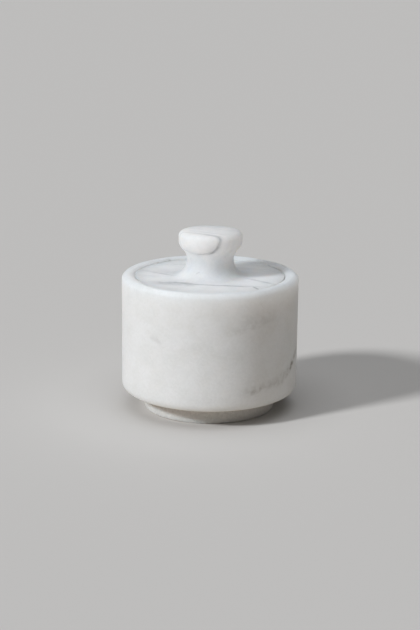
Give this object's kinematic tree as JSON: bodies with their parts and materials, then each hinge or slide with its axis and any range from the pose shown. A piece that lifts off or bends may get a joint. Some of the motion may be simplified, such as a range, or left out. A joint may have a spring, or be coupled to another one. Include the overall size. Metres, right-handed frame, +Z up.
{
  "type": "salt cellar",
  "caption": "Lidded salt cellar of white marble: a round pot on a narrower foot, with an inset lid that lifts off by its turned mushroom knob.",
  "frame": {"origin": "on the turning axis, in the plane of the foot's flat ring, where the pot stands", "axes": "+Z up along the turning axis, towards the knob; +X and +Y are free, because both pieces are round"},
  "size_m": [0.095, 0.095, 0.0969],
  "materials": {
    "pot_marble": "satin",
    "lid_marble": "satin"
  },
  "bodies": {
    "pot": {"pot": "pot_marble"},
    "lid": {"lid": "lid_marble"}
  },
  "joints": [
    {"name": "lid_lift", "type": "slide", "parent": "pot", "child": "lid", "axis": [0, 0, 1], "range_m": [0, 0.08]}
  ]
}
